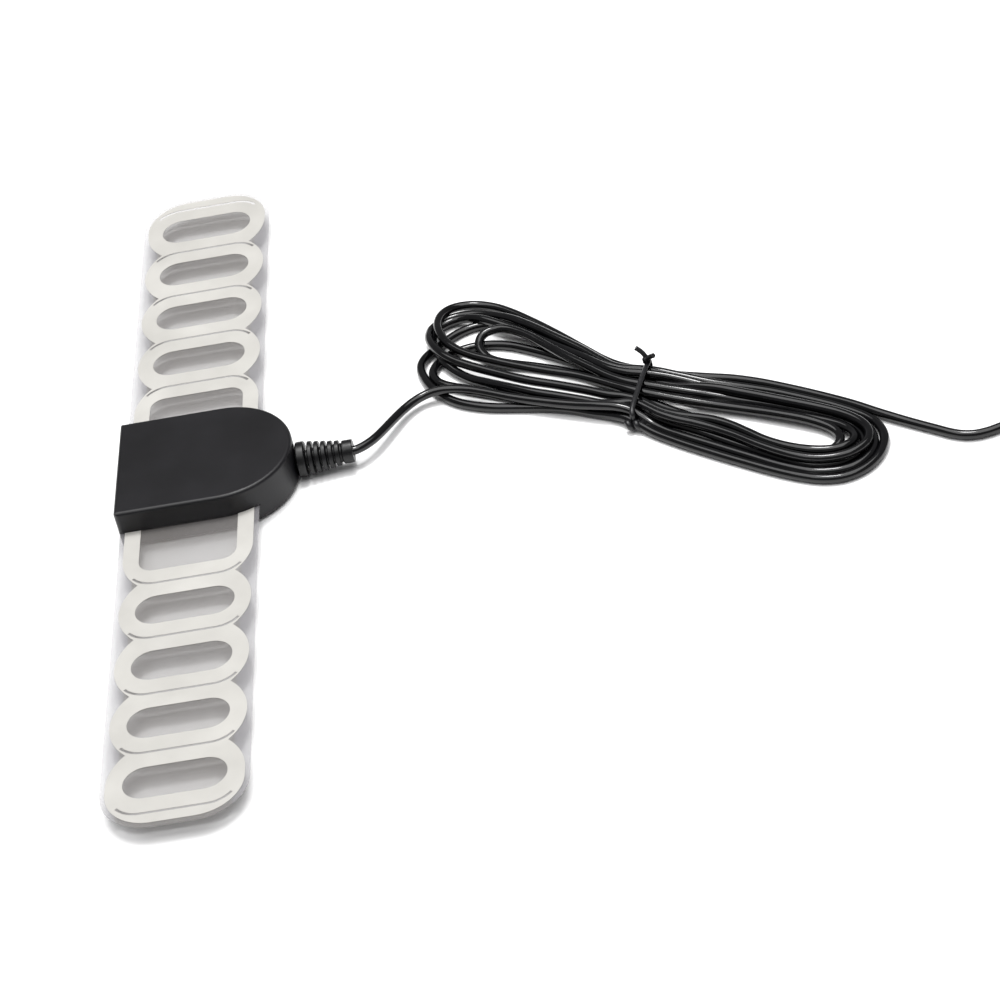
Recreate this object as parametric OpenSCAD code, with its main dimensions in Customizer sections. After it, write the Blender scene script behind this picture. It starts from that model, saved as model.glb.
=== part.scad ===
// Flat film television and radio antenna with a built-in amplifier.
// A clear film carries two chains of printed loops, and a two-part housing clamps it across the middle.
// A thin coaxial lead leaves the housing's nose, lies in a tied hank and ends in a screw-on plug.
// +Y runs along the film, +X towards the cable, +Z up. The origin is the middle of the adhesive pad's face.

/* [Film] */
// Width of the clear film
film_w = 45; // [40:1:54]
// Length of the film from end to end
film_l = 322; // [260:1:400]
// Thickness of the film
film_t = 0.3; // [0.2:0.05:0.5]
// Radius of the film's corners
film_corner_r = 16; // [4:1:19]

/* [Printed loops] */
// Number of loops on each side of the housing
loops = 5; // [3:1:6]
// Clear margin between the print and the film's edge
print_margin = 1.6; // [1:0.1:3]
// Width of the printed band at a loop's sides
side_band = 5.2; // [3:0.1:7]
// Width of the printed band between a window and a slit
cross_band = 5.9; // [3:0.1:7]
// Width of the printed band beyond the last slit
end_band = 3.8; // [2:0.1:6]
// Width of the slit between two loops
slit_w = 0.9; // [0.5:0.1:1.5]
// Half the length of a slit
slit_half = 17; // [10:0.5:17.5]
// How far the notch between two loops cuts in from the print's side
notch_depth = 5.4; // [2:0.1:6]
// Corner radius of the first window
first_corner_r = 5; // [1:0.5:6]
// Thickness of the printed ink
ink_t = 0.1; // [0.05:0.05:0.2]

/* [Housing] */
// Width of the housing along the film
body_w = 47.5; // [44:0.5:60]
// Distance from the origin back to the housing's square end
body_back = 23; // [22.8:0.1:27]
// Distance from the origin to the centre of the round nose
nose_x = 10.5; // [8:0.5:20]
// Height of the upper shell
upper_h = 8.3; // [8:0.1:12]
// Height of the lower shell
lower_h = 5.2; // [4.6:0.1:9]
// Wall thickness of both shells
wall = 1.6; // [1.2:0.1:2]
// Radius of the upper shell's top edge
top_edge_r = 1.2; // [0.4:0.1:1.8]
// Radius of the lower shell's bottom edge
bottom_edge_r = 0.8; // [0.3:0.1:1.2]
// Radius of the housing's two square corners in plan
plan_corner_r = 1.6; // [0.6:0.1:4]
// Gap left above the film where it passes between the shells
film_gap = 0.05; // [0.02:0.01:0.15]

/* [Adhesive pad] */
// Length of the pad across the film
pad_l = 38; // [20:1:40]
// Width of the pad along the film
pad_w = 27; // [16:1:28]
// Thickness of the pad
pad_t = 0.8; // [0.4:0.1:2]
// Corner radius of the pad
pad_corner_r = 3; // [0.5:0.5:6]

/* [Fasteners] */
// Radius of a housing screw's shank
screw_r = 1.1; // [0.8:0.05:1.3]
// Radius of a housing screw's head
screw_head_r = 2; // [1.6:0.1:2.3]
// Height of a housing screw's head
screw_head_h = 1.3; // [0.8:0.1:1.5]
// Clearance around a screw
screw_clearance = 0.1; // [0.05:0.05:0.2]
// Radius of a screw boss
boss_r = 2.5; // [2.3:0.1:2.7]

/* [Circuit board] */
// Thickness of the circuit board
board_t = 1; // [0.8:0.1:1.6]
// Height of the board's underside above the film's print
board_lift = 2.2; // [2:0.1:2.8]
// Width of the board along the film
board_w = 31; // [28:1:31]
// Thickness of a contact spring's strip
spring_t = 0.25; // [0.15:0.05:0.4]
// Width of a contact spring
spring_w = 3; // [2:0.5:4]
// Distance of the contact springs from the middle of the housing
spring_y = 10; // [9:0.5:11]

/* [Cable] */
// Diameter of the coaxial cable
cable_d = 3; // [2.6:0.1:3.2]
// Diameter of the cable's white core insulation
core_insulation_d = 1.6; // [1.2:0.1:1.8]
// Diameter of the inner conductor
conductor_d = 0.5; // [0.3:0.1:0.6]
// Diameter of the strain relief's collar at the housing
collar_d = 11.4; // [9:0.1:11.8]
// Diameter of the strain relief's end collar
end_collar_d = 7.6; // [6:0.1:9]
// Number of ribs on the strain relief
ribs = 5; // [3:1:7]
// Length of the strain relief outside the housing
relief_l = 18.3; // [15:0.1:18.3]

/* [Hank] */
// Height of the tied hank of cable
hank_h = 7.2; // [7:0.1:10]
// Width of the tie
tie_w = 2.4; // [1.5:0.1:4]
// Thickness of the tie
tie_t = 0.9; // [0.6:0.1:1]

/* [Plug] */
// Width of the coupling nut across its flats
nut_af = 11; // [10.5:0.1:11.2]
// Length of the coupling nut
nut_l = 9.5; // [7:0.5:12]
// Radius of the coupling nut's threaded bore
nut_bore_r = 4.4; // [4.2:0.05:4.5]
// Running clearance between the nut and the plug's neck
nut_clearance = 0.06; // [0.03:0.01:0.1]

/* [Hidden] */
// smoothness of round shapes
$fn = 64;
// a little more than a flush cut needs
eps = 0.02;

// heights, from the pad's face up
shell_z = pad_t;
split_z = shell_z + lower_h;
print_z = split_z + film_t;
slot_z = print_z + ink_t + film_gap;
top_z = split_z + upper_h;
roof_z = top_z - wall;
floor_z = shell_z + wall;
board_z = print_z + ink_t + board_lift;
board_top_z = board_z + board_t;

// the print, worked out from the film and the housing
body_r = body_w / 2;
print_half = film_w / 2 - print_margin;
cell_start = body_r + 1.25;
cell_end = film_l / 2 - print_margin - end_band - slit_w / 2;
pitch = (cell_end - cell_start) / loops;
window_q = pitch / 2 - slit_w / 2 - cross_band;
window_half = print_half - side_band;
bulge_r = (notch_depth * notch_depth + pitch * pitch / 4) / (2 * notch_depth);
slit_bend_r = 9;
leg_in = spring_y - spring_w / 2 - 1;

// the housing's inside
nose_tip = nose_x + body_r;
nose_in = nose_tip - wall;
film_edge = film_w / 2;
back_screw = [-10, body_r - 5.2];
nose_screw = [nose_tip - 7.8, 10];
screw_places = [[back_screw.x, back_screw.y], [back_screw.x, -back_screw.y],
                [nose_screw.x, nose_screw.y], [nose_screw.x, -nose_screw.y]];
board_back = film_edge - 6;
board_front = nose_tip - 17.25;
leg_x = print_half - side_band / 2;
post_places = [[-11, 0], [board_front - 6, -11]];
board_screw_r = 0.95;
board_head_r = 1.8;

// the cable and its strain relief
cable_r = cable_d / 2;
cable_fit = 0.02;
cable_z = split_z;
neck_r = 2.6;
flange_r = 3.5;
flange_x = nose_tip - 4;
flange_t = 1.7;
relief_x = nose_tip + 0.25;
relief_end = relief_x + relief_l;
jacket_end = nose_tip - 8.25;
ferrule_l = 3;
ferrule_wall = 0.45;

// Route of the lead from the strain relief to the hank
lead_route = [[relief_end, 0, cable_z], [relief_end + 1.2, 0, cable_z], [relief_end + 4, 1.9, 5.95],
              [59.6, 5.1, 5.65], [62.6, 9.9, 5.1], [65.9, 16, 4.4], [69.4, 21.6, 3.8], [72.6, 25.2, 3.9],
              [76, 27.7, 4.4], [81, 28.2, 5]];

// Route of the tail from the hank to the plug
tail_route = [[214, -15.4, 3], [221, -21, 2.2], [228, -26.5, 1.7], [234, -31.2, 1.5], [240, -35.7, 1.5],
              [245.5, -38.3, 1.5], [251, -38, 1.5], [257, -35.6, 1.5], [264, -33.2, 1.6], [271, -31.8, 1.9],
              [278, -31.2, 2.7], [285, -31, 4.1], [291.5, -31, 5.7], [298, -31, 6.5], [304, -31, 6.5],
              [310, -31, 6.5]];

// the hank lies along a line that turns away from the housing
hank_place = [144.2, 10.3];
hank_turn = -33;
tie_turn = 18;
waist_w = 26;
waist_low = tie_t + 0.1;
waist_high = hank_h - 0.2;

// the plug's axis and the nut's seat on it
plug_y = -31;
plug_z = 6.5;
plug_x = 314;
sleeve_l = 12;
shoulder_l = 3;
nut_wall = 1.5;
neck_plug_r = 3.6;
axial_play = 0.15;
insulator_r = 1.9;
pin_r = 0.45;

// ---------- shapes that repeat ----------

// a rectangle with round corners, centred
module rounded(l, w, r) {
    square([l - 2 * r, w], center = true);
    square([l, w - 2 * r], center = true);
    for (x = [-1, 1], y = [-1, 1]) translate([x * (l / 2 - r), y * (w / 2 - r)]) circle(r);
}

// a long hole with round ends, centred
module oval(half_l, half_w) {
    square([2 * (half_l - half_w), 2 * half_w], center = true);
    for (x = [-1, 1]) translate([x * (half_l - half_w), 0]) circle(half_w);
}

// the housing seen from above, drawn in by inset
module plan(inset = 0) {
    r = body_r - inset;
    back = body_back - inset;
    corner = max(plan_corner_r - inset, 0.2);
    translate([nose_x, 0]) circle(r, $fn = 128);
    translate([corner - back, -r]) square([nose_x + back - corner, 2 * r]);
    translate([-back, corner - r]) square([nose_x + back, 2 * (r - corner)]);
    for (y = [-1, 1]) translate([corner - back, y * (r - corner)]) circle(corner);
}

// one shell's outside: flat below, with its upper edge rounded by edge_r
module blank(h, edge_r) {
    intersection() {
        linear_extrude(h) plan();
        union() {
            translate([-body_back - 1, 0, 0]) rotate([90, 0, 90]) linear_extrude(nose_x + body_back + 1) {
                translate([-body_r, 0]) square([2 * body_r, h - edge_r]);
                translate([edge_r - body_r, 0]) square([2 * (body_r - edge_r), h]);
                for (y = [-1, 1]) translate([y * (body_r - edge_r), h - edge_r]) circle(edge_r);
            }
            translate([nose_x, 0, 0]) rotate_extrude($fn = 128) {
                square([body_r, h - edge_r]);
                square([body_r - edge_r, h]);
                translate([body_r - edge_r, h - edge_r]) intersection() {
                    circle(edge_r);
                    square(edge_r);
                }
            }
        }
        translate([0, body_r + 1, 0]) rotate([90, 0, 0]) linear_extrude(2 * body_r + 2) {
            translate([-body_back, 0]) square([body_back + nose_tip + 1, h - edge_r]);
            translate([edge_r - body_back, 0]) square([body_back + nose_tip + 1 - edge_r, h]);
            translate([edge_r - body_back, h - edge_r]) circle(edge_r);
        }
    }
}

// a bar of one radius through a list of points
module wire(points, r) {
    for (i = [0 : len(points) - 2]) {
        step = points[i + 1] - points[i];
        turn = atan2(step.y, step.x);
        tilt = atan2(norm([step.x, step.y]), step.z);
        translate(points[i]) rotate([0, tilt, turn]) cylinder(h = norm(step), r = r, $fn = 24);
        if (i > 0) translate(points[i]) sphere(r + eps, $fn = 24);
    }
}

// a cylinder along +X that starts at x
module bar(x, l, r) {
    translate([x, 0, 0]) rotate([0, 90, 0]) cylinder(h = l, r = r);
}

// one ring of a swept tube, square to the direction dir
function ring(p, dir, r, sides) =
    let (side = cross([0, 0, 1], dir) / norm(cross([0, 0, 1], dir)), up = cross(dir, side))
    [for (k = [0 : sides - 1]) p + r * (cos(360 * k / sides) * side + sin(360 * k / sides) * up)];

// the direction of a route at one of its points
function heading(route, i) =
    let (a = route[max(i - 1, 0)], b = route[min(i + 1, len(route) - 1)]) (b - a) / norm(b - a);

// a tube of one radius along a route
module tube(route, r, sides = 8) {
    n = len(route);
    points = [for (i = [0 : n - 1]) each ring(route[i], heading(route, i), r, sides)];
    skin = [for (i = [0 : n - 2], k = [0 : sides - 1])
        let (a = i * sides + k, b = i * sides + (k + 1) % sides) [a, a + sides, b + sides, b]];
    ends = [[for (k = [0 : sides - 1]) k], [for (k = [sides - 1 : -1 : 0]) (n - 1) * sides + k]];
    polyhedron(points, concat(skin, ends));
}

// ---------- housing ----------

module upper_shell() color("#232427") difference() {
    union() {
        difference() {
            translate([0, 0, split_z]) blank(upper_h, top_edge_r);
            translate([0, 0, split_z - eps]) linear_extrude(roof_z - split_z + eps) plan(wall);
        }
        for (p = screw_places)
            translate([p.x, p.y, slot_z]) cylinder(h = roof_z - slot_z + eps, r = boss_r);
        for (p = post_places)
            translate([p.x, p.y, board_top_z]) cylinder(h = roof_z - board_top_z + eps, r = boss_r - 0.4);
    }
    translate([-body_back - 1, -body_r - 1, split_z - 1])
        cube([body_back + 1 + film_edge + 0.3, body_w + 2, 1 + slot_z - split_z]);
    for (p = screw_places)
        translate([p.x, p.y, split_z - 1]) cylinder(h = roof_z - split_z, r = screw_r + screw_clearance / 2);
    for (p = post_places)
        translate([p.x, p.y, board_top_z - 1])
            cylinder(h = roof_z - board_top_z + 0.6, r = board_screw_r + screw_clearance / 2);
    translate([0, 0, cable_z]) bar(flange_x + flange_t, 6, neck_r + 0.05);
}

module lower_shell() color("#1e1f22") difference() {
    union() {
        difference() {
            translate([0, 0, split_z]) mirror([0, 0, 1]) blank(lower_h, bottom_edge_r);
            translate([0, 0, floor_z]) linear_extrude(lower_h) plan(wall);
        }
        for (p = screw_places)
            translate([p.x, p.y, shell_z + wall / 2]) cylinder(h = split_z - shell_z - wall / 2, r = boss_r);
        for (x = [-1, 1], y = [-1, 1])
            translate([x * leg_x - 2, y * spring_y - 2.5, floor_z - eps]) cube([4, 5, split_z - floor_z + eps]);
    }
    for (p = screw_places) {
        translate([p.x, p.y, 0]) cylinder(h = split_z + 1, r = screw_r + screw_clearance);
        translate([p.x, p.y, 0]) cylinder(h = shell_z + screw_head_h + 0.2, r = screw_head_r + screw_clearance);
    }
    translate([0, 0, cable_z]) bar(flange_x + flange_t, 6, neck_r + 0.05);
}

module adhesive_pad() color("#d8d8d2") linear_extrude(pad_t) rounded(pad_l, pad_w, pad_corner_r);

module housing_screws() color("#b9bcc0") for (p = screw_places)
    translate([p.x, p.y, shell_z + 0.1]) difference() {
        union() {
            cylinder(h = screw_head_h, r = screw_head_r);
            cylinder(h = roof_z - shell_z - 1.6, r = screw_r);
        }
        for (a = [0, 90]) rotate(a) translate([-1.1, -0.2, -eps]) cube([2.2, 0.4, 0.7]);
    }

// ---------- film and print ----------

module base_film() color("#b9b8ba", 0.6) translate([0, 0, split_z]) linear_extrude(film_t) difference() {
    rounded(film_w, film_l, film_corner_r);
    for (y = [-1, 1]) translate([back_screw.x, y * back_screw.y]) circle(screw_r + 0.4);
}

// one slit: straight in the middle, bent towards the housing at both ends
module slit() {
    straight = slit_half - 7;
    translate([-straight, -slit_w / 2]) square([2 * straight, slit_w]);
    for (s = [-1, 1]) translate([s * straight, -slit_bend_r]) intersection() {
        difference() {
            circle(slit_bend_r + slit_w / 2);
            circle(slit_bend_r - slit_w / 2);
        }
        polygon([[0, 0], [s * 1.3 * slit_bend_r, slit_bend_r], [0, 2 * slit_bend_r]]);
    }
}

// the print on the +Y side of the housing, as a flat outline
module loop_chain() difference() {
    union() {
        translate([-print_half, leg_in]) square([2 * print_half, cell_start + pitch / 2 - leg_in]);
        for (i = [0 : loops - 1]) translate([0, cell_start + (i + 0.5) * pitch]) intersection() {
            oval(print_half, min(bulge_r, print_half));
            square([film_w, pitch + 2 * eps], center = true);
        }
        intersection() {
            rounded(film_w - 2 * print_margin, film_l - 2 * print_margin, film_corner_r - print_margin);
            translate([-film_w / 2, cell_end - pitch / 2]) square([film_w, pitch]);
        }
    }
    translate([0, (cell_start + pitch / 2 + window_q) / 2])
        rounded(2 * window_half, cell_start + pitch / 2 + window_q, first_corner_r);
    translate([-window_half, leg_in - 1]) square([2 * window_half, cell_start - leg_in]);
    for (i = [1 : loops - 1])
        translate([0, cell_start + (i + 0.5) * pitch]) oval(window_half, min(window_q, window_half - 1));
    for (i = [1 : loops]) translate([0, cell_start + i * pitch]) slit();
}

module far_loops() color("#e4e2dc") translate([0, 0, print_z]) linear_extrude(ink_t) loop_chain();

module near_loops() color("#e4e2dc")
    translate([0, 0, print_z]) linear_extrude(ink_t) mirror([0, 1]) loop_chain();

// ---------- amplifier ----------

module circuit_board() color("#2f6b3c") translate([0, 0, board_z]) linear_extrude(board_t) difference() {
    translate([-board_back, -board_w / 2]) square([board_back + board_front, board_w]);
    for (p = post_places) translate([p.x, p.y]) circle(board_screw_r + screw_clearance);
}

module contact_springs() color("#c9a35a") for (x = [0, 1], y = [-1, 1])
    translate([0, y * spring_y, 0]) mirror([x, 0, 0]) spring();

// one strip: flat under the board, then down to the print and up at its tip
module spring() {
    low = print_z + ink_t + spring_t;
    reach = [[leg_x - 5.1, board_z], [leg_x - 1.8, board_z], [leg_x, low], [leg_x + 1.2, low + 0.6]];
    under = [for (i = [len(reach) - 1 : -1 : 0]) [reach[i].x, reach[i].y - spring_t]];
    translate([0, spring_w / 2, 0]) rotate([90, 0, 0]) linear_extrude(spring_w) polygon(concat(reach, under));
}

module amplifier_chip() color("#26272b") translate([3, 0, board_top_z]) {
    translate([-2.25, -1.25, 0]) cube([4.5, 2.5, 1.5]);
    for (x = [-1.5, 0, 1.5]) translate([x - 0.22, -2.1, 0]) cube([0.44, 1, 0.4]);
    translate([-0.85, 1, 0]) cube([1.7, 1.2, 0.4]);
}

module chip_components() color("#c8b79a") for (i = [0 : 3], y = [-6, -10])
    translate([-4 + 3.2 * i - 1, y - 0.62, board_top_z]) cube([2, 1.25, 0.6]);

module input_balun() color("#3a3a3e") translate([-6, 9, board_top_z]) difference() {
    translate([-2.5, -1.8, 0]) cube([5, 3.6, 2.4]);
    for (x = [-1.2, 1.2]) translate([x, 3, 1.2]) rotate([90, 0, 0]) cylinder(h = 6, r = 0.6, $fn = 32);
}

module balun_winding() color("#b06a3a") translate([-6, 9, board_top_z + 1.2])
    wire([[-1.2, -2.4, 0], [-1.2, 2.2, 0], [1.2, 2.2, 0], [1.2, -2.4, 0]], 0.25);

module bias_choke() color("#303136") translate([9, 8, board_top_z]) {
    translate([-2.2, -2.2, 0]) cube([4.4, 4.4, 0.5]);
    cylinder(h = 2.3, r = 2);
}

module board_screws() color("#b9bcc0") for (p = post_places) translate([p.x, p.y, board_z]) {
    translate([0, 0, -1.1]) cylinder(h = 1.1, r = board_head_r);
    translate([0, 0, -0.5]) cylinder(h = roof_z - board_z, r = board_screw_r);
}

// ---------- cable end in the housing ----------

module strain_relief() color("#1c1c1f") translate([0, 0, cable_z]) difference() {
    union() {
        bar(flange_x, flange_t, flange_r);
        bar(flange_x, relief_end - flange_x - 1, neck_r);
        bar(relief_x, collar_l, collar_d / 2);
        for (i = [0 : ribs - 1]) bar(relief_x + collar_l + (i + 0.45) * rib_pitch, 0.6 * rib_pitch, rib_r(i));
        bar(relief_end - end_collar_l, end_collar_l, end_collar_d / 2);
    }
    bar(flange_x - 1, relief_end - flange_x + 2, cable_r + cable_fit);
}
collar_l = 3;
end_collar_l = 3.4;
rib_pitch = (relief_l - collar_l - end_collar_l) / (ribs + 0.5);
function rib_r(i) = (collar_d - (collar_d - end_collar_d) * (i + 1) / (ribs + 1)) / 2;

module cable_entry() color("#17171a") translate([0, 0, cable_z])
    bar(jacket_end, relief_end - jacket_end, cable_r);

module crimp_ferrule() color("#b8bbc0") translate([0, 0, cable_z]) difference() {
    bar(jacket_end + 0.5, ferrule_l, cable_r + cable_fit + ferrule_wall);
    bar(jacket_end, ferrule_l + 1, cable_r + cable_fit);
}

module shield_pigtail() color("#c2c4c8") wire([[jacket_end + 1, cable_r + 0.92, cable_z + 0.8],
    [board_front + 1, 4.5, board_top_z + 0.62], [board_front - 1.5, 4.5, board_top_z + 0.62]], 0.55);

module core_insulation() color("#eeeeea") wire([[jacket_end - 0.35, 0, cable_z],
    [board_front + 3.5, 0, board_z - 0.4]], core_insulation_d / 2);

module inner_conductor() color("#c98a52") wire([[board_front + 3.3, 0, board_z - 0.3],
    [board_front + 0.3, 0, board_top_z + conductor_d / 2 + 0.05],
    [board_front - 2, 0, board_top_z + conductor_d / 2 + 0.05]], conductor_d / 2);

// ---------- free cable ----------

module cable_lead() color("#17171a") tube(lead_route, cable_r);

module cable_tail() color("#17171a") tube(tail_route, cable_r);

// the outer shape of the tied turns, with a neck where the tie grips it
module cable_hank() color("#17171a") translate([hank_place.x, hank_place.y, 0]) rotate(hank_turn) difference() {
    linear_extrude(hank_h) {
        hull($fn = 32) {
            translate([-70.5, 13.5]) circle(17);
            translate([-61, -6]) circle(19.5);
            circle(waist_w / 2 + 1);
        }
        hull($fn = 32) {
            circle(waist_w / 2 + 1);
            translate([38, -0.5]) circle(19.8);
            translate([68, -1.5]) circle(20.5);
        }
    }
    rotate(tie_turn) difference() {
        cube([tie_w, 3 * waist_w, 4 * hank_h], center = true);
        translate([-tie_w, -waist_w / 2, waist_low]) cube([2 * tie_w, waist_w, waist_high - waist_low]);
    }
}

// a flat coated wire round the hank's neck, twisted at the far side and turned under at the near side
module twist_tie() color("#141416") translate([hank_place.x, hank_place.y, 0]) rotate(hank_turn + tie_turn) {
    difference() {
        translate([-tie_w / 2, -waist_w / 2 - tie_t, waist_low - tie_t])
            cube([tie_w, waist_w + 2 * tie_t, waist_high - waist_low + 2 * tie_t]);
        translate([-tie_w, -waist_w / 2, waist_low]) cube([2 * tie_w, waist_w, waist_high - waist_low]);
    }
    translate([-3.2, -waist_w / 2 - tie_t - 2.2, waist_low]) cube([6.4, 2.2 + eps, 3.6]);
    twist = [0, waist_w / 2 + tie_t - 0.3, waist_high - 1.5];
    wire([twist, twist + [0, 1.4, 2.6], twist + [-1.2, 1.6, 9]], 0.75);
    wire([twist + [0, 1.4, 2.6], twist + [3, 2.2, 6.6]], 0.75);
    translate(twist + [0, 1.4, 2.6]) sphere(1.1, $fn = 24);
}

// ---------- plug ----------

module at_plug() translate([plug_x, plug_y, plug_z]) children();

module plug_sleeve() color("#c0c3c8") at_plug() difference() {
    union() {
        bar(-shoulder_l - sleeve_l, sleeve_l, 2.7);
        bar(-shoulder_l - 3.5, 3.5, 3.3);
    }
    bar(-shoulder_l - sleeve_l - 1, sleeve_l + 2, cable_r + 0.05);
}

module plug_body() color("#c9ccd1") at_plug() difference() {
    union() {
        bar(-shoulder_l, shoulder_l - axial_play, 4.7);
        bar(-axial_play - eps, nut_wall + 2 * axial_play + 2 * eps, neck_plug_r);
        bar(nut_wall + axial_play, 1.3, nut_bore_r - 0.15);
        bar(nut_wall + axial_play, 2.4, 3);
    }
    bar(-shoulder_l - 1, 12, insulator_r);
}

module plug_insulator() color("#e9e6da") at_plug() difference() {
    bar(-shoulder_l + 0.1, shoulder_l + nut_wall + 2.4, insulator_r - cable_fit);
    bar(-shoulder_l - 1, 20, pin_r + cable_fit);
}

module plug_pin() color("#d0a95c") at_plug() {
    bar(-shoulder_l + 0.2, shoulder_l + nut_l + 0.6, pin_r);
    translate([nut_l + 0.8, 0, 0]) rotate([0, 90, 0]) cylinder(h = 0.5, r1 = pin_r, r2 = 0.2, $fn = 24);
}

module coupling_nut() color("#c9ccd1") at_plug() difference() {
    rotate([0, 90, 0]) cylinder(h = nut_l, d = nut_af / cos(30), $fn = 6);
    bar(-1, nut_l, neck_plug_r + nut_clearance);
    bar(nut_wall, nut_l, nut_bore_r);
}

upper_shell();
lower_shell();
adhesive_pad();
base_film();
near_loops();
far_loops();
circuit_board();
contact_springs();
amplifier_chip();
chip_components();
input_balun();
balun_winding();
bias_choke();
board_screws();
housing_screws();
strain_relief();
cable_entry();
crimp_ferrule();
shield_pigtail();
core_insulation();
inner_conductor();
cable_lead();
cable_hank();
twist_tie();
cable_tail();
plug_sleeve();
plug_body();
plug_insulator();
plug_pin();
coupling_nut();
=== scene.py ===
import math

import bmesh
import bpy
import numpy as np
from mathutils import Matrix, Vector


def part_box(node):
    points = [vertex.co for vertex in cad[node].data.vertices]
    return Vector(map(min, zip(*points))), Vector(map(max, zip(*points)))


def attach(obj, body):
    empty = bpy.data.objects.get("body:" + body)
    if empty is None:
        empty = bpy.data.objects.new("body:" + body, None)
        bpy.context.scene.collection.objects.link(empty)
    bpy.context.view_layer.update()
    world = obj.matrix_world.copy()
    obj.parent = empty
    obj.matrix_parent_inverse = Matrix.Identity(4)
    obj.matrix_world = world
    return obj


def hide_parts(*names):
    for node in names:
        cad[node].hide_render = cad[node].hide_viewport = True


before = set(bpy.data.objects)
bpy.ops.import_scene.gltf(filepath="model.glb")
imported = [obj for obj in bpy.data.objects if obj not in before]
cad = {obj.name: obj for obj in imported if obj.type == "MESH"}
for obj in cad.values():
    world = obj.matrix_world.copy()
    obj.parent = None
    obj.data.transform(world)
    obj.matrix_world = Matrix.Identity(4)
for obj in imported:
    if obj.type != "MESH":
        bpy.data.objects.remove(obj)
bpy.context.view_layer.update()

# ---------------------------------------------------------------- the view
# A long lens looks down at the aerial from its near side and is tipped a little to one side.
lens = bpy.data.cameras.new("long_lens")
lens.sensor_width = 36
lens.lens = 131.32
camera = bpy.data.objects.new("camera", lens)
bpy.context.scene.collection.objects.link(camera)
bpy.context.scene.camera = camera
turned, raised, tipped, far = math.radians(6.502), math.radians(37.927), math.radians(-13.333), 1.13186
aim = np.array([0.09923, -0.03760, 0.006])
back = np.array([math.sin(turned) * math.cos(raised), -math.cos(turned) * math.cos(raised), math.sin(raised)])
level = np.cross(-back, [0, 0, 1])
level /= np.linalg.norm(level)
over = np.cross(level, -back)
right = math.cos(tipped) * level + math.sin(tipped) * over
up = -math.sin(tipped) * level + math.cos(tipped) * over
stand = np.eye(4)
stand[:3, 0], stand[:3, 1], stand[:3, 2], stand[:3, 3] = right, up, back, aim + far * back
camera.matrix_world = Matrix(stand.tolist())
lens.clip_start, lens.clip_end = 0.05, 20

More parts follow.
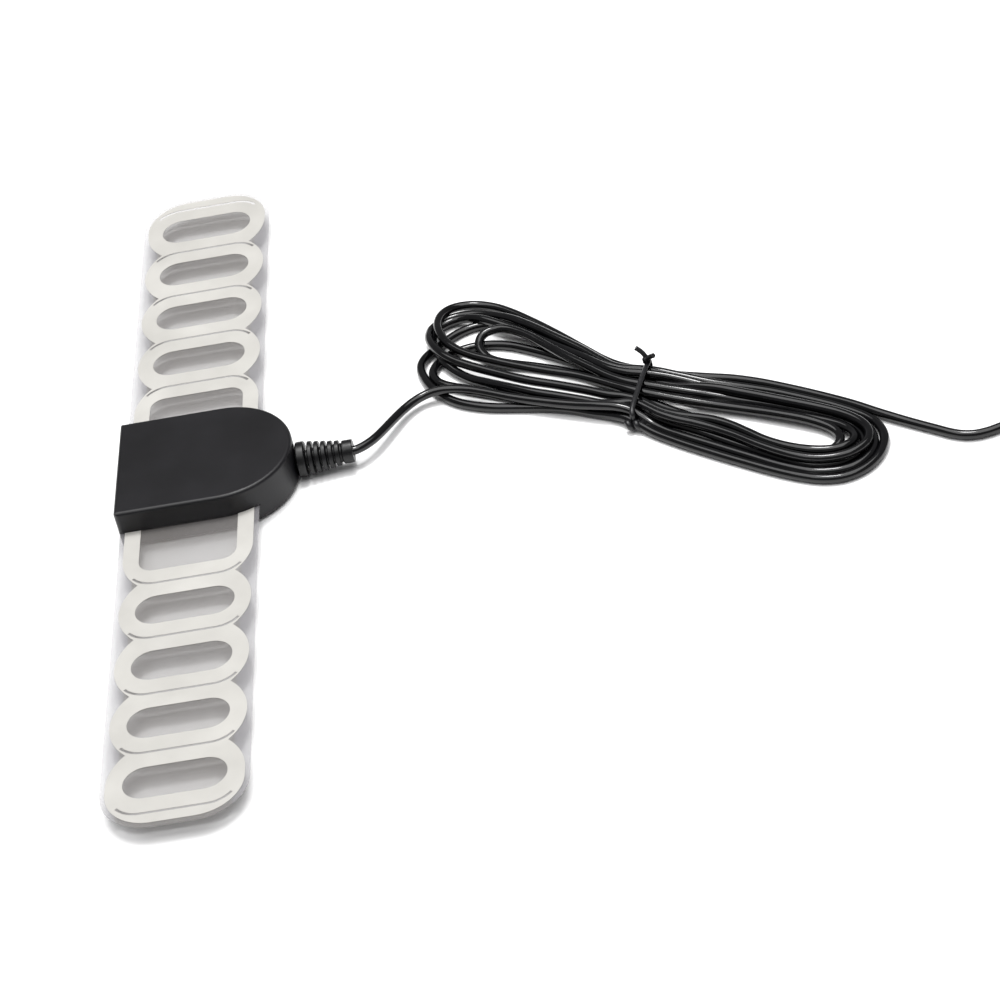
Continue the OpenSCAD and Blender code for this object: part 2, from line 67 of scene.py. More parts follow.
# ---------------------------------------------------------------- coaxial cable
# One length of 3 mm miniature coax with a glossy black PVC jacket. It leaves the strain relief, is wound into a
# flat hank of thirteen strands and runs on to its plug. It starts a little inside the relief's mouth. Each row below
# is a point that its centre passes, in mm.
way = np.array([
    (52, 0, 6),
    (52.8, 0, 6), (55.3, 1.1, 5.9), (57.5, 2.9, 5.7), (59.9, 5.7, 5.4), (62.6, 10, 4.9),
    (66.3, 16.3, 4.2), (69.1, 20.6, 3.7), (71.7, 23.4, 3.6), (74.6, 25.5, 3.7), (77.9, 26.6, 4),
    (81.5, 26.7, 4.3), (85.4, 26, 4.4), (90.2, 24.3, 4.4), (95.5, 21.5, 4.4), (103.8, 16.6, 4.4),
    (114, 11.5, 4.4), (125.4, 6.1, 4.8), (132.9, 2.7, 5.5), (137.7, 0.8, 5.6),
    (141.7, -1.1, 4.9), (145.2, -3.6, 3.5), (148.7, -6.9, 2), (152.3, -10.4, 1.5),
    (157.1, -14.6, 1.6), (165.9, -21.4, 1.5), (177.1, -30.2, 1.5), (186.1, -37.2, 1.5),
    (191.8, -40.9, 1.5), (196.3, -43.2, 1.5), (200.4, -44.3, 1.5), (204.2, -44.6, 1.5),
    (207.8, -44, 1.5), (211, -42.5, 1.5), (213.5, -40.1, 1.5), (215.4, -37, 1.5),
    (216.3, -33.6, 1.5), (216.2, -30, 1.5), (215.2, -26.4, 1.5), (213.2, -22.8, 1.5),
    (210.3, -19.3, 1.5), (206, -15.6, 1.5), (199, -10.6, 1.5), (187.8, -3.3, 1.5),
    (179.7, 1.2, 1.5), (171.5, 5.1, 2.1), (162.3, 9.7, 3.7), (154.2, 13.3, 5),
    (146.8, 16.1, 5.6), (142, 18, 5.6), (138, 20.6, 5.5), (134.4, 24.1, 5.3), (129.2, 30.3, 4.8),
    (120.3, 40.3, 3.9), (112.7, 48.6, 3.5), (107.1, 53.9, 3.6), (100.6, 59, 4), (96.1, 62.4, 4),
    (92.7, 64.8, 3.4), (89.7, 66.2, 2.8), (86.9, 66.8, 2.3), (84.2, 66.3, 2.1), (81.8, 64.9, 2),
    (80.1, 62.6, 2.1), (79.3, 59.7, 2.2), (79.1, 56.4, 2.5), (79.8, 52.4, 2.8),
    (81.2, 47.5, 2.8), (83.6, 42.4, 2.4), (86.9, 37.7, 2), (91.1, 33.1, 2.1), (96.3, 28.8, 2.7),
    (104.4, 22.4, 3.7), (110.9, 17.7, 4.2), (118.9, 13.3, 4.3), (128.4, 8, 4.3),
    (133.2, 5.1, 4.4), (137.7, 3.4, 4.8), (141.6, 2.5, 5.1), (144.8, 0.8, 5.2), (147.6, -1.9, 5),
    (151.1, -5.6, 4.8), (155.6, -9.1, 4.6), (161.5, -12.5, 4.3), (167.7, -16.7, 4),
    (173.5, -21.7, 4.1), (180.9, -29.1, 4.3), (186.6, -34.1, 4.4), (191.6, -37.6, 4.4),
    (196.1, -39.8, 4.3), (200.3, -41, 4.3), (204.2, -41.2, 4.3), (207.8, -40.6, 4.3),
    (210.8, -39.2, 4.3), (213.2, -37.2, 4.3), (214.7, -34.7, 4.3), (215.2, -31.8, 4.3),
    (214.7, -28.8, 4.3), (213.2, -25.9, 4.3), (210.8, -22.9, 4.3), (207.1, -19.5, 4.3),
    (201.5, -15.5, 4.3), (191.1, -9.1, 4.4), (178.8, -1.9, 4.6), (170.4, 2.7, 4.8),
    (164.1, 5.9, 4.3), (158, 9, 3.3), (152.3, 12.9, 2.7), (145.3, 17.9, 2.3), (140.2, 21.9, 1.7),
    (135.8, 26.5, 1.5), (129.6, 34.1, 1.5), (121.2, 44, 1.5), (112.9, 52.5, 1.5),
    (107.5, 57.3, 1.5), (103.5, 60.1, 1.5), (99.8, 61.8, 1.5), (96, 62.5, 1.5),
    (92.2, 62.2, 1.5), (88.6, 60.9, 1.5), (85.2, 58.7, 1.5), (81.5, 55.1, 1.5), (78, 51.8, 1.5),
    (75.9, 49.1, 1.5), (74.7, 46.1, 1.5), (74.6, 42.8, 1.5), (75.4, 39.2, 1.5), (77, 34.6, 1.5),
    (79.7, 29.6, 1.5), (83.1, 25.3, 1.5), (87.3, 21.6, 1.5), (92.1, 18.8, 1.5),
    (97.7, 16.5, 1.5), (106.4, 14.1, 1.5), (116.3, 11.3, 1.5), (123.4, 8.4, 1.5),
    (130.3, 4.6, 1.5), (136.2, 1, 2.1), (140.4, -2.2, 2.5), (144.2, -6, 2.2),
    (149.1, -11.2, 1.6), (155, -16.6, 1.5), (165.3, -25.1, 1.5), (176.6, -33.8, 1.5),
    (186.7, -41.1, 1.5), (192.8, -44.8, 1.5), (197.2, -46.9, 1.5), (201.2, -48, 1.5),
    (205, -48.2, 1.5), (208.7, -47.3, 1.5), (212.1, -45.5, 1.5), (215, -42.9, 1.5),
    (217.4, -39.4, 1.5), (218.9, -35.6, 1.5), (219.6, -31.7, 1.5), (219.2, -27.9, 1.5),
    (217.9, -24.2, 1.5), (215.6, -20.8, 1.5), (212.1, -17.2, 1.5), (206.9, -12.8, 1.5),
    (197.4, -6.1, 1.5), (187.4, 0.4, 1.5), (179.3, 4.8, 1.5), (169.9, 9, 2), (158.4, 14.4, 3.5),
    (150.7, 18, 4.4), (144.9, 20.2, 4.6), (140.8, 22, 4.4), (137.4, 24.7, 4.3),
    (134.3, 28.3, 4.3), (128.4, 35.7, 4.4), (119.7, 45.2, 4.5), (111.2, 54.6, 4.3),
    (105.6, 60.2, 3.9), (100.1, 64.7, 3), (96.1, 67.3, 2.4), (92.5, 68.9, 2), (89, 69.6, 1.7),
    (85.8, 69.4, 1.6), (82.9, 68.4, 1.6), (80.5, 66.5, 1.9), (78.8, 64, 2.4), (78, 60.9, 3),
    (77.9, 57.4, 3.8), (78.6, 53.3, 4.5), (80.2, 49, 4.9), (82.6, 44.9, 4.9), (86, 41.3, 4.6),
    (90.5, 37.7, 4.4), (99.6, 31.4, 4.1), (109.3, 24.8, 4.1), (119.3, 19.3, 4.1),
    (128.7, 13.9, 4.1), (135.4, 9.7, 4.1), (140.6, 7.2, 4.1), (144.6, 4.6, 4), (148, 1.2, 3.9),
    (151.9, -2.9, 3.8), (156.2, -6.3, 3.9), (161.5, -9.2, 4), (167.5, -12.5, 4.2),
    (172.6, -16.4, 4.3), (177.7, -21.6, 4.3), (183.1, -27.3, 4.3), (188.3, -31.4, 4.3),
    (193.4, -34.4, 4.3), (197.7, -36.2, 4.3), (201.4, -37, 4.2), (204.5, -37, 4.1),
    (207.2, -36.2, 4), (209.3, -34.6, 3.7), (210.5, -32.2, 3.3), (210.5, -29.6, 2.9),
    (209.6, -26.9, 2.6), (207.7, -24.3, 2.5), (204.8, -21.6, 2.3), (199.9, -18, 2),
    (191.4, -12.8, 1.7), (180.1, -6.3, 1.5), (170.5, -1.7, 1.5), (163.6, 1.7, 1.5),
    (157.3, 5.8, 1.7), (149.1, 11.4, 2.7), (143.2, 15.3, 3), (138.3, 19.5, 2.8),
    (131.6, 26.4, 2.3), (124.4, 33.8, 1.8), (117.3, 39.8, 1.6), (109.9, 45.2, 1.5),
    (104.7, 48.4, 1.5), (100, 50.3, 1.5), (95.5, 51.2, 1.5), (91.2, 51.1, 1.5),
    (87.2, 50.1, 1.5), (83.8, 48.4, 1.5), (81.2, 46.2, 1.5), (79.5, 43.7, 1.5),
    (78.6, 40.9, 1.5), (78.8, 38, 1.5), (80, 35.3, 1.5), (82.2, 33, 1.5), (85.2, 31, 1.5),
    (90, 28.4, 1.5), (101.1, 22.3, 1.5), (110.9, 17.1, 1.5), (121.6, 12.3, 1.5),
    (130.6, 7.8, 1.5), (137.5, 4.4, 2), (142.4, 1.9, 2.4), (146.8, -1.4, 2.2),
    (153.4, -6.6, 1.6), (161.4, -12.7, 1.5), (170.9, -20.9, 1.5), (181.9, -30, 1.5),
    (188.9, -35.6, 1.5), (193.5, -38.5, 1.5), (197.4, -40.2, 1.5), (201.1, -41, 1.5),
    (204.6, -40.9, 1.5), (207.7, -39.8, 1.5), (210.3, -38.1, 1.5), (212.1, -35.6, 1.5),
    (213.1, -32.6, 1.5), (213, -29.5, 1.5), (211.9, -26.3, 1.5), (210, -23.2, 1.5),
    (207.1, -20, 1.5), (202.7, -16.5, 1.5), (195.3, -11.7, 1.5), (184.9, -5.5, 1.5),
    (177.4, -1.7, 1.7), (169.9, 1.3, 2.6), (161.7, 4, 4), (153.1, 7.6, 4.8), (146, 10.9, 5.3),
    (141, 13.8, 5.4), (136.6, 17.7, 5.3), (131, 23.7, 5.4), (123, 32.6, 5.4), (116.8, 40.4, 5.2),
    (111.3, 47, 5.3), (107.6, 50.6, 5.2), (104.8, 52.8, 5.1), (102.2, 54.1, 5),
    (99.7, 54.5, 4.7), (97.3, 54, 4.5), (95.4, 52.4, 4.1), (94.5, 50.1, 3.6), (94.6, 47.6, 3.1),
    (95.6, 44.9, 2.6), (97.4, 42.5, 2.2), (100.2, 40.4, 1.9), (104.2, 38.3, 1.7),
    (111.8, 34.9, 1.5), (121.7, 29.5, 1.5), (128.4, 25.2, 1.5), (134, 20.5, 1.5),
    (139.1, 15.2, 1.9), (143.6, 9.7, 2.4), (148.4, 4.8, 2.1), (155.1, -0.9, 1.6),
    (163.8, -8.1, 1.5), (173.3, -17, 1.5), (182.6, -25.9, 1.5), (187.7, -30.3, 1.5),
    (191.7, -32.9, 1.5), (195.2, -34.4, 1.6), (198.4, -35, 1.6), (201.3, -34.8, 1.7),
    (203.7, -33.8, 1.8), (205.5, -31.9, 2), (206.1, -29.4, 2.2), (205.5, -26.9, 2.4),
    (203.9, -24.5, 2.6), (201.4, -22.1, 2.8), (197.2, -19.1, 3.1), (189.6, -14.5, 3.1),
    (178.8, -8.4, 2.8), (169.6, -3.9, 3), (157.2, 1.6, 4), (148.5, 5.8, 4.8), (143.2, 8.8, 5.1),
    (138.3, 12.7, 4.8), (131.5, 18.3, 4.5), (125, 22.8, 4.4), (117.4, 26.9, 4.3),
    (107.8, 32.3, 4.3), (97.2, 39.1, 4.3), (91.5, 43.2, 4.3), (87.4, 47, 4.4), (84.4, 50.9, 4.7),
    (82.4, 55.1, 4.9), (81.3, 59.4, 4.9), (81.1, 63.4, 4.7), (81.8, 67, 4.4), (83.1, 69.9, 3.9),
    (85.2, 72.3, 3.3), (87.9, 73.8, 2.7), (91.1, 74.4, 2.2), (94.5, 74.1, 1.8),
    (97.9, 72.8, 1.6), (101.5, 70.6, 1.5), (105.5, 67.1, 1.5), (111.5, 60.8, 1.5),
    (120.4, 50.4, 1.5), (129.2, 39.3, 1.5), (134.9, 32, 1.7), (139.3, 27.2, 2.1),
    (144, 23.5, 2.4), (149.3, 20.5, 2.4), (155.9, 17.7, 1.9), (166.9, 13.8, 1.5),
    (175.7, 10.5, 1.5), (183.2, 6.7, 1.5), (192.8, 0.7, 1.5), (203.7, -6.8, 1.5),
    (212, -13.4, 1.8), (219.4, -19.9, 1.9), (227.5, -26.1, 1.6), (235.9, -32.3, 1.5),
    (240, -35.3, 1.5), (243.4, -37.1, 1.5), (247, -37.9, 1.5), (250.7, -37.6, 1.5),
    (254.6, -36.5, 1.5), (260.5, -34.3, 1.5), (267.4, -32.4, 1.6), (274.5, -31.5, 2.1),
    (282.2, -31.1, 3.4), (289.7, -31, 5.2), (295, -31, 6.3), (300.8, -31, 6.6), (310, -31, 6.5),
]) * 0.001
cable_r = 0.0015  # metres


def tone(code):
    """A hex sRGB colour as linear red, green, blue and alpha."""
    parts = [int(code[i : i + 2], 16) / 255 for i in (1, 3, 5)]
    return [c / 12.92 if c <= 0.04045 else ((c + 0.055) / 1.055) ** 2.4 for c in parts] + [1.0]


def node(tree, kind, values=(), links=()):
    """Adds one shader node, sets what values names on it or on its sockets, and joins the links to its inputs."""
    made = tree.nodes.new("ShaderNode" + kind)
    for key, value in dict(values).items():
        if isinstance(key, str) and key in made.bl_rna.properties:
            setattr(made, key, value)
        else:
            made.inputs[key].default_value = value
    for key, source in dict(links).items():
        tree.links.new(source, made.inputs[key])
    return made


def blank(name, **sockets):
    """An empty material with one Principled shader, and that shader's plain numbers set on its own sockets."""
    made = bpy.data.materials.new(name)
    made.use_nodes = True
    tree = made.node_tree
    tree.nodes.clear()
    shader = node(tree, "BsdfPrincipled", {key.replace("_", " "): value for key, value in sockets.items()})
    node(tree, "OutputMaterial", links={"Surface": shader.outputs[0]})
    return made, tree, shader


def smooth_way(points, per_step):
    """Cubic pieces through the points. Each point's slope is the mean of its two chords' slopes, weighted by the
    other chord's length, and every piece is cut into per_step equal steps of its parameter."""
    chord = np.diff(points, axis=0)
    length = np.linalg.norm(chord, axis=1)[:, None]
    lean = chord / length
    inside = (lean[:-1] * length[1:] + lean[1:] * length[:-1]) / (length[1:] + length[:-1])
    slope = np.vstack([lean[:1], inside, lean[-1:]])
    u = (np.arange(per_step) / per_step)[None, :, None]
    start, end, run = points[:-1, None], points[1:, None], length[:, None]
    path = (
        (2 * u**3 - 3 * u**2 + 1) * start
        + (u**3 - 2 * u**2 + u) * slope[:-1, None] * run
        + (3 * u**2 - 2 * u**3) * end
        + (u**3 - u**2) * slope[1:, None] * run
    ).reshape(-1, 3)
    return np.vstack([path, points[-1:]])


def sweep(path, section):
    """Carries a closed section, in two columns, along a path. The section's first column lies along the level
    direction square to the path, and its second along the direction square to both."""
    ahead = np.gradient(path, axis=0)
    ahead /= np.linalg.norm(ahead, axis=1)[:, None]
    side = np.cross([0, 0, 1.0], ahead)
    side /= np.linalg.norm(side, axis=1)[:, None]
    top = np.cross(ahead, side)
    return path[:, None] + section[None, :, :1] * side[:, None] + section[None, :, 1:] * top[:, None]


def skin(name, grid, material, ends="capped"):
    """A mesh from a grid of points, rows along and columns round. Columns always close on themselves. Rows close on
    themselves if ends is joined, and get a flat face at both ends if it is capped. The UV map holds the distance
    along in metres and the share of the way round."""
    rows, around = grid.shape[:2]
    index = np.arange(rows * around).reshape(rows, around)
    low, high = (index, np.roll(index, -1, 0)) if ends == "joined" else (index[:-1], index[1:])
    quads = np.stack([low, np.roll(low, -1, 1), np.roll(high, -1, 1), high], -1).reshape(-1, 4)
    faces = quads.tolist()
    if ends == "capped":
        faces += [index[0][::-1].tolist(), index[-1].tolist()]
    mesh = bpy.data.meshes.new(name)
    mesh.from_pydata(grid.reshape(-1, 3).tolist(), [], faces)
    along = np.r_[0, np.cumsum(np.linalg.norm(np.diff(grid.mean(1), axis=0), axis=1))]
    corner = np.zeros(len(mesh.loops), int)
    mesh.loops.foreach_get("vertex_index", corner)
    uv = np.stack([along[corner // around], (corner % around) / around], -1)
    ring_end = np.arange(len(quads)) % around == around - 1
    uv[: 4 * len(quads)].reshape(-1, 4, 2)[ring_end, 1:3, 1] = 1.0
    mesh.uv_layers.new(name="along").data.foreach_set("uv", uv.ravel())
    mesh.polygons.foreach_set("use_smooth", [True] * len(faces))
    if ends == "capped":
        mesh.polygons[-1].use_smooth = mesh.polygons[-2].use_smooth = False
    mesh.update()
    made = bpy.data.objects.new(name, mesh)
    bpy.context.scene.collection.objects.link(made)
    mesh.materials.append(material)
    return made


# The jacket is extruded PVC: nearly black, smooth and glossy, with faint draw lines along it and a slight orange peel.
jacket, tree, shader = blank("extruded_black_pvc", IOR=1.5)
place = node(tree, "TexCoord")
draw = node(tree, "Mapping", {"Scale": (60, 14, 1)}, {"Vector": place.outputs["UV"]})
lines = node(tree, "TexNoise", {"Scale": 1.0, "Detail": 3}, {"Vector": draw.outputs[0]})
peel = node(tree, "TexNoise", {"Scale": 900.0, "Detail": 2}, {"Vector": place.outputs["Object"]})
dust = node(tree, "TexNoise", {"Scale": 160.0, "Detail": 5}, {"Vector": place.outputs["Object"]})
black = node(tree, "ValToRGB", links={0: dust.outputs[0]})
black.color_ramp.elements[0].position, black.color_ramp.elements[0].color = 0.35, tone("#030304")
black.color_ramp.elements[1].position, black.color_ramp.elements[1].color = 0.75, tone("#08080a")
gloss = node(tree, "MapRange", {"To Min": 0.08, "To Max": 0.16}, {"Value": dust.outputs[0]})
bump = node(tree, "Bump", {"Strength": 0.12, "Distance": 0.0001}, {"Height": lines.outputs[0]})
both_bumps = {"Height": peel.outputs[0], "Normal": bump.outputs[0]}
bump = node(tree, "Bump", {"Strength": 0.08, "Distance": 0.0001}, both_bumps)
tree.links.new(black.outputs[0], shader.inputs["Base Color"])
tree.links.new(gloss.outputs[0], shader.inputs["Roughness"])
tree.links.new(bump.outputs[0], shader.inputs["Normal"])

path = smooth_way(way, 5)
round_turn = np.linspace(0, 2 * math.pi, 20, endpoint=False)
circle = np.stack([np.cos(round_turn), np.sin(round_turn)], -1)  # of radius 1
cable = skin("cable", sweep(path, cable_r * circle), jacket)
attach(cable, "antenna")
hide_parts("cable_lead", "cable_hank", "cable_tail")

# ---------------------------------------------------------------- twist tie
# A flat plastic-coated wire holds the hank. It goes round the strands, is bunched at the near side and twisted on
# the far top shoulder, where its two ends stand up. The soft black PVC ribbon is thicker over the wire in its middle.
tie_vinyl, tree, shader = blank("soft_black_pvc_ribbon", IOR=1.53, Roughness=0.36)
place = node(tree, "TexCoord")
creases = node(tree, "TexNoise", {"Scale": 700.0, "Detail": 4}, {"Vector": place.outputs["Object"]})
black = node(tree, "ValToRGB", links={0: creases.outputs[0]})
black.color_ramp.elements[0].position, black.color_ramp.elements[0].color = 0.3, tone("#08080a")
black.color_ramp.elements[1].position, black.color_ramp.elements[1].color = 0.8, tone("#1a1a1d")
bump = node(tree, "Bump", {"Strength": 0.35, "Distance": 0.0002}, {"Height": creases.outputs[0]})
tree.links.new(black.outputs[0], shader.inputs["Base Color"])
tree.links.new(bump.outputs[0], shader.inputs["Normal"])

hank_middle, tie_turn = np.array([0.14648, 0.00876, 0.0]), math.radians(-15)
across = np.array([math.cos(tie_turn), math.sin(tie_turn), 0])
along = np.array([-math.sin(tie_turn), math.cos(tie_turn), 0])


def tie_place(x, y, z):
    """Points in the tie's own directions, in mm: x across the ribbon, y along the strands' row, z up."""
    x, y, z = np.broadcast_arrays(np.asarray(x, float), y, z)
    return hank_middle + 0.001 * (x[..., None] * across + y[..., None] * along + z[..., None] * [0, 0, 1])


def band(middle_y, half_y, low, high, width, thick, power=4.5):
    """A closed flat ribbon round the strands. Its line is a superellipse in y and z, and its section a thin lens
    shape that is thickest over the wire, with rounded rims."""
    t = np.linspace(0, 2 * math.pi, 160, endpoint=False)
    c, s = np.cos(t), np.sin(t)
    y = middle_y + half_y * np.sign(c) * np.abs(c) ** (2 / power)
    z = (low + high) / 2 + (high - low) / 2 * np.sign(s) * np.abs(s) ** (2 / power)
    lean = np.stack([np.gradient(y), np.gradient(z)], -1)
    lean /= np.linalg.norm(lean, axis=1)[:, None]
    a = np.linspace(0, 2 * math.pi, 20, endpoint=False)
    flat = np.sign(np.cos(a)) * np.abs(np.cos(a)) ** 0.8 * width / 2
    deep = np.sin(a) * thick * (0.28 + 0.22 * np.exp(-((flat / 0.45) ** 2)))
    wander = 0.25 * np.sin(2 * t + 0.6)
    return tie_place(
        wander[:, None] + flat[None],
        y[:, None] + lean[:, 1:] * deep[None],
        z[:, None] - lean[:, :1] * deep[None],
    )


def outward(made):
    """Turns a finished mesh's faces to point outwards."""
    work = bmesh.new()
    work.from_mesh(made.data)
    bmesh.ops.recalc_face_normals(work, faces=work.faces)
    work.to_mesh(made.data)
    work.free()
    return made


ribbon = band(middle_y=-0.9, half_y=13.9, low=0.6, high=7.3, width=1.7, thick=1.15)
tie_band = outward(skin("tie_band", ribbon, tie_vinyl, "joined"))
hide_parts("twist_tie")
end_r, bunch_r = 0.0008, 0.00105  # metres
knot_t = np.linspace(0, 1, 40)
for number, (phase, tip) in enumerate([(0.0, (-3.4, 12.2, 12.0)), (math.pi, (3.0, 9.4, 11.0))]):
    turn = phase + knot_t * 2.6 * math.pi
    coil = np.stack([0.7 * np.cos(turn), 11.2 - 0.3 * knot_t + 0.6 * np.sin(turn), 7.2 + 1.5 * knot_t], -1)
    reach = np.linspace(0, 1, 18)[1:, None]
    tail = coil[-1] + reach * (np.array(tip) - coil[-1]) + np.sin(math.pi * reach) * [0.3 * (1 - 2 * number), 0.2, 0.0]
    strand = tie_place(*np.vstack([coil, tail]).T)
    piece = outward(skin(f"tie_end_{number + 1}", sweep(strand, end_r * circle), tie_vinyl))
    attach(piece, "antenna")
bunch_t = np.linspace(0, 1, 90)
turn = bunch_t * 2 * math.pi * 2.1 + 0.6
bunch = tie_place(-2.0 + 5.6 * bunch_t, -15.7 + 0.6 * np.cos(turn), 2.5 + 0.8 * np.sin(turn))
tie_bunch = outward(skin("tie_bunch", sweep(bunch, bunch_r * circle), tie_vinyl))
for piece in (tie_band, tie_bunch):
    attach(piece, "antenna")

# ---------------------------------------------------------------- strain relief
# A black flexible vinyl sleeve moulded on the cable: a flange held in the shells, a thick collar against the
# housing, five ribs that get smaller and a long end collar. It is a profile turned round the cable's axis.
relief_vinyl, tree, shader = blank("moulded_flexible_vinyl", IOR=1.42)
place = node(tree, "TexCoord")
grain = node(tree, "TexNoise", {"Scale": 1400.0, "Detail": 3}, {"Vector": place.outputs["Object"]})
patches = node(tree, "TexNoise", {"Scale": 220.0, "Detail": 4}, {"Vector": place.outputs["Object"]})
black = node(tree, "ValToRGB", links={0: patches.outputs[0]})
black.color_ramp.elements[0].position, black.color_ramp.elements[0].color = 0.3, tone("#050506")
black.color_ramp.elements[1].position, black.color_ramp.elements[1].color = 0.8, tone("#0c0c0e")
dull = node(tree, "MapRange", {"To Min": 0.28, "To Max": 0.46}, {"Value": patches.outputs[0]})
bump = node(tree, "Bump", {"Strength": 0.2, "Distance": 0.0001}, {"Height": grain.outputs[0]})
tree.links.new(black.outputs[0], shader.inputs["Base Color"])
tree.links.new(dull.outputs[0], shader.inputs["Roughness"])
tree.links.new(bump.outputs[0], shader.inputs["Normal"])

relief_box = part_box("strain_relief")
flange_x, relief_end = relief_box[0].x * 1000, relief_box[1].x * 1000
relief_z = 0.006  # metres; the sizes below are in mm
bore_r, core_r, flange_core_r = 1.53, 3.1, 2.6
collar_x, collar_end, collar_r = 34.5, 37.5, 5.7
end_collar_long, end_collar_r = 3.4, 3.8
rib_pitch = (18.3 - (collar_end - collar_x) - end_collar_long) / 5.5


def rounded_step(start, end, r, core, power=7.0):
    """One collar or rib of the profile: a superellipse arc from core at start, up to r and down to core at end."""
    t = np.linspace(0, math.pi, 26)
    x = (start + end) / 2 - (end - start) / 2 * np.sign(np.cos(t)) * np.abs(np.cos(t)) ** (2 / power)
    return np.stack([x, core + (r - core) * np.sin(t) ** (2 / power)], -1)


collars = [(flange_x, flange_x + 1.7, 3.5, flange_core_r), (collar_x, collar_end, collar_r, flange_core_r)]
collars += [
    (collar_end + (i + 0.4) * rib_pitch, collar_end + (i + 1.08) * rib_pitch, collar_r - 1.9 * (i + 1) / 6, core_r)
    for i in range(5)
]
collars += [(relief_end - end_collar_long, relief_end, end_collar_r, core_r)]
profile = np.vstack([rounded_step(*c) for c in collars])
profile = np.vstack([[flange_x, bore_r], profile, [relief_end, bore_r]])
inner = np.stack([np.linspace(relief_end, flange_x, 12)[1:-1], np.full(10, bore_r)], -1)
profile = np.vstack([profile, inner]) * 0.001
spin = np.linspace(0, 2 * math.pi, 72, endpoint=False)
turned_grid = np.stack([
    np.broadcast_to(profile[:, :1], (len(profile), len(spin))),
    profile[:, 1:] * np.cos(spin)[None],
    relief_z + profile[:, 1:] * np.sin(spin)[None],
], -1)
relief = outward(skin("relief_sleeve", turned_grid, relief_vinyl, "joined"))
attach(relief, "antenna")
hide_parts("strain_relief")


# ---------------------------------------------------------------- housing
# Two black ABS shells, injection moulded in a finely eroded tool, so the faces are satin with a fine grain. A real
# one is nearer 0.1 mm, too fine to show, so it is drawn at 0.4 mm. The finish varies softly in patches, from smoother
# and darker to rougher and paler.
def dress(names, material):
    """Gives CAD nodes one material."""
    for name in names:
        cad[name].data.materials.clear()
        cad[name].data.materials.append(material)


abs_black, tree, shader = blank("moulded_black_abs", IOR=1.4)
place = node(tree, "TexCoord")
eroded = node(tree, "TexNoise", {"Scale": 2600.0, "Detail": 3, "Roughness": 0.6}, {"Vector": place.outputs["Object"]})
handled = node(tree, "TexNoise", {"Scale": 55.0, "Detail": 5}, {"Vector": place.outputs["Object"]})
black = node(tree, "ValToRGB", links={0: handled.outputs[0]})
black.color_ramp.elements[0].position, black.color_ramp.elements[0].color = 0.35, tone("#09080b")
black.color_ramp.elements[1].position, black.color_ramp.elements[1].color = 0.7, tone("#0f0e12")
satin = node(tree, "MapRange", {"To Min": 0.33, "To Max": 0.45}, {"Value": handled.outputs[0]})
bump = node(tree, "Bump", {"Strength": 0.22, "Distance": 0.0001}, {"Height": eroded.outputs[0]})
tree.links.new(black.outputs[0], shader.inputs["Base Color"])
tree.links.new(satin.outputs[0], shader.inputs["Roughness"])
tree.links.new(bump.outputs[0], shader.inputs["Normal"])
dress(["upper_shell", "lower_shell"], abs_black)

# ---------------------------------------------------------------- film
# Clear polyester film, 0.3 mm thick, greyish from its matt hard coat. Under the print its colour is painted darker, as
# painted shade for the shadow that falls under the windows and slits. Alpha counts on both faces of the sheet, so 0.3
# hides half of what is below.
film, tree, shader = blank("hard_coated_polyester_film", IOR=1.57, Alpha=0.3, Roughness=0.3)
place = node(tree, "TexCoord")
parts = node(tree, "SeparateXYZ", links={0: place.outputs["Object"]})
cloud = node(tree, "TexNoise", {"Scale": 38.0, "Detail": 5}, {"Vector": place.outputs["Object"]})
# the painted shade lies under the whole print, |x| below 17.4 mm, so it shows in the windows and the slits
x = node(tree, "Math", {"operation": "ABSOLUTE"}, {0: parts.outputs["X"]})
shaded_print_area = node(tree, "Math", {"operation": "LESS_THAN", 1: 0.0174}, {0: x.outputs[0]})
clear = node(tree, "ValToRGB", links={0: cloud.outputs[0]})
clear.color_ramp.elements[0].position, clear.color_ramp.elements[0].color = 0.3, tone("#98969a")
clear.color_ramp.elements[1].position, clear.color_ramp.elements[1].color = 0.75, tone("#a3a1a4")
# painted shade: a darker film colour inside the print area
painted_window_shade = node(tree, "ValToRGB", links={0: cloud.outputs[0]})
painted_window_shade.color_ramp.elements[0].position, painted_window_shade.color_ramp.elements[0].color = 0.3, tone("#8a8683")
painted_window_shade.color_ramp.elements[1].position, painted_window_shade.color_ramp.elements[1].color = 0.75, tone("#949190")
both = node(tree, "Mix", {"data_type": "RGBA"}, {0: shaded_print_area.outputs[0], 6: clear.outputs[0], 7: painted_window_shade.outputs[0]})
bump = node(tree, "Bump", {"Strength": 0.05, "Distance": 0.0002}, {"Height": cloud.outputs[0]})
tree.links.new(both.outputs[2], shader.inputs["Base Color"])
tree.links.new(bump.outputs[0], shader.inputs["Normal"])
dress(["base_film"], film)

# ---------------------------------------------------------------- printed loops
# The conductor is a screen-printed ink under a cream lacquer. The screen leaves a grain of about 0.2 mm in it, too
# fine to show, so it is drawn at 0.6 mm. The lacquer has yellowed a little in patches.
ink, tree, shader = blank("screen_printed_ink", IOR=1.5)
place = node(tree, "TexCoord")
patches = node(tree, "TexNoise", {"Scale": 60.0, "Detail": 6}, {"Vector": place.outputs["Object"]})
cream = node(tree, "ValToRGB", links={0: patches.outputs[0]})
cream.color_ramp.elements[0].position, cream.color_ramp.elements[0].color = 0.3, tone("#b0aea9")
cream.color_ramp.elements[1].position, cream.color_ramp.elements[1].color = 0.72, tone("#bdbbb6")
grain = node(tree, "TexNoise", {"Scale": 1700.0, "Detail": 2}, {"Vector": place.outputs["Object"]})
bump = node(tree, "Bump", {"Strength": 0.15, "Distance": 0.0001}, {"Height": grain.outputs[0]})
rough = node(tree, "MapRange", {"To Min": 0.4, "To Max": 0.6}, {"Value": patches.outputs[0]})
tree.links.new(cream.outputs[0], shader.inputs["Base Color"])
tree.links.new(rough.outputs[0], shader.inputs["Roughness"])
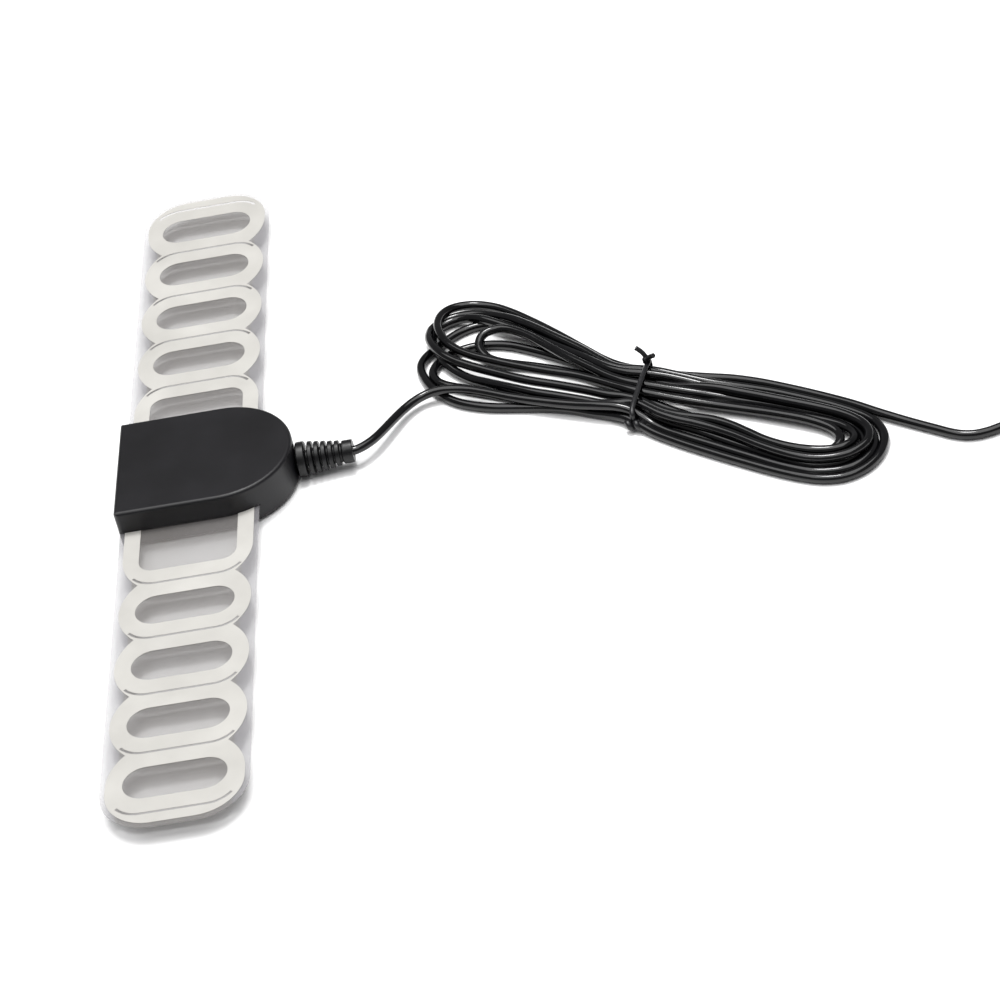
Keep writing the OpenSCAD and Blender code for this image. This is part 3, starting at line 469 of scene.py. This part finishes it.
tree.links.new(bump.outputs[0], shader.inputs["Normal"])
dress(["near_loops", "far_loops"], ink)


# ---------------------------------------------------------------- small parts
# The foam pad, screws, circuit board and what is on it, the cable's inner layers and the plug. Each keeps the shape
# it is packed with and gets the finish of its own material.
def finish(name, dark, pale, size_mm, rough, bumped, **sockets):
    """A material with two colours mixed by a noise of that size, a roughness that follows it and a bump."""
    made, tree, shader = blank(name, **sockets)
    place = node(tree, "TexCoord")
    noise = node(tree, "TexNoise", {"Scale": 1000.0 / size_mm, "Detail": 4}, {"Vector": place.outputs["Object"]})
    ramp = node(tree, "ValToRGB", links={0: noise.outputs[0]})
    ramp.color_ramp.elements[0].position, ramp.color_ramp.elements[0].color = 0.3, tone(dark)
    ramp.color_ramp.elements[1].position, ramp.color_ramp.elements[1].color = 0.75, tone(pale)
    spread = node(tree, "MapRange", {"To Min": rough[0], "To Max": rough[1]}, {"Value": noise.outputs[0]})
    bump = node(tree, "Bump", {"Strength": bumped, "Distance": 0.0001}, {"Height": noise.outputs[0]})
    tree.links.new(ramp.outputs[0], shader.inputs["Base Color"])
    tree.links.new(spread.outputs[0], shader.inputs["Roughness"])
    tree.links.new(bump.outputs[0], shader.inputs["Normal"])
    return made


dress(["adhesive_pad"], finish("closed_cell_acrylic_foam", "#c9c8c0", "#e2e1da", 0.5, (0.75, 0.9), 0.6))
dress(
    ["housing_screws", "board_screws"],
    finish("zinc_plated_steel", "#9a9da1", "#c3c6ca", 0.8, (0.25, 0.42), 0.1, Metallic=1.0),
)
dress(["circuit_board"], finish("solder_masked_glass_epoxy", "#1d5a30", "#2c7341", 1.2, (0.3, 0.45), 0.15))
dress(
    ["contact_springs"],
    finish("phosphor_bronze_strip", "#b98a4b", "#d3a866", 0.9, (0.22, 0.36), 0.1, Metallic=1.0),
)
dress(["amplifier_chip"], finish("moulded_black_epoxy", "#1c1d20", "#2a2b2f", 0.3, (0.55, 0.7), 0.3))
dress(["chip_components"], finish("fired_ceramic", "#b79f7c", "#d2c0a0", 0.4, (0.4, 0.6), 0.2))
dress(["input_balun", "bias_choke"], finish("sintered_ferrite", "#2c2c30", "#424247", 0.5, (0.5, 0.7), 0.4))
dress(
    ["balun_winding"],
    finish("enamelled_copper_wire", "#8f4a24", "#b8673a", 0.6, (0.2, 0.3), 0.1, Metallic=1.0),
)
dress(["crimp_ferrule"], finish("drawn_steel_tube", "#a3a6aa", "#c6c9cd", 0.6, (0.25, 0.4), 0.15, Metallic=1.0))
dress(
    ["shield_pigtail"],
    finish("tinned_copper_braid", "#9a9c9f", "#cfd1d4", 0.25, (0.3, 0.5), 0.8, Metallic=1.0),
)
dress(
    ["core_insulation", "plug_insulator"],
    finish("white_polyethylene", "#dedcd2", "#efeee8", 0.8, (0.35, 0.5), 0.1),
)
dress(
    ["inner_conductor"],
    finish("bare_copper_wire", "#a9623a", "#cc8454", 0.4, (0.2, 0.35), 0.1, Metallic=1.0),
)
dress(["cable_entry"], jacket)
dress(
    ["plug_sleeve", "plug_body", "coupling_nut"],
    finish("bright_nickel_plate", "#b9b8b4", "#d6d5d1", 1.5, (0.14, 0.26), 0.06, Metallic=1.0),
)
dress(["plug_pin"], finish("turned_brass", "#b58a42", "#d9b467", 0.5, (0.18, 0.3), 0.1, Metallic=1.0))

# ---------------------------------------------------------------- floor and light
# A pale matt table, a small bright soft box above and a little behind, a large one overhead and an even pale
# surround.
table_white, tree, shader = blank("matt_white_table", Roughness=0.9, Specular_IOR_Level=0.1)
place = node(tree, "TexCoord")
soft_noise = node(tree, "TexNoise", {"Scale": 9.0, "Detail": 2}, {"Vector": place.outputs["Object"]})
pale = node(tree, "ValToRGB", links={0: soft_noise.outputs[0]})
pale.color_ramp.elements[0].position, pale.color_ramp.elements[0].color = 0.0, tone("#fafafa")
pale.color_ramp.elements[1].position, pale.color_ramp.elements[1].color = 1.0, tone("#fcfcfc")
tree.links.new(pale.outputs[0], shader.inputs["Base Color"])
table_mesh = bpy.data.meshes.new("table_top")
table_mesh.from_pydata([(-6, -6, 0), (6, -6, 0), (6, 6, 0), (-6, 6, 0)], [], [(0, 1, 2, 3)])
table_top = bpy.data.objects.new("table_top", table_mesh)
bpy.context.scene.collection.objects.link(table_top)
table_mesh.materials.append(table_white)
table_top.location.z = -0.0002


def soft_box(name, where, size, power):
    """A square area light that faces the aerial."""
    light = bpy.data.lights.new(name, "AREA")
    light.size, light.energy = size, power
    made = bpy.data.objects.new(name, light)
    bpy.context.scene.collection.objects.link(made)
    made.location = where
    made.rotation_mode = "QUATERNION"
    made.rotation_quaternion = (made.location - Vector((0.1, 0, 0))).to_track_quat("Z", "Y")


soft_box("key_box", (0.1, 0.3, 1.4), 0.3, 10)
soft_box("fill_box", (0.1, 0.0, 1.7), 2.2, 42)
surround = bpy.data.worlds.new("surround")
bpy.context.scene.world = surround
surround.use_nodes = True
surround.node_tree.nodes["Background"].inputs[0].default_value = tone("#f2f2f4")
surround.node_tree.nodes["Background"].inputs[1].default_value = 0.25
bpy.context.scene.view_settings.view_transform = "Standard"
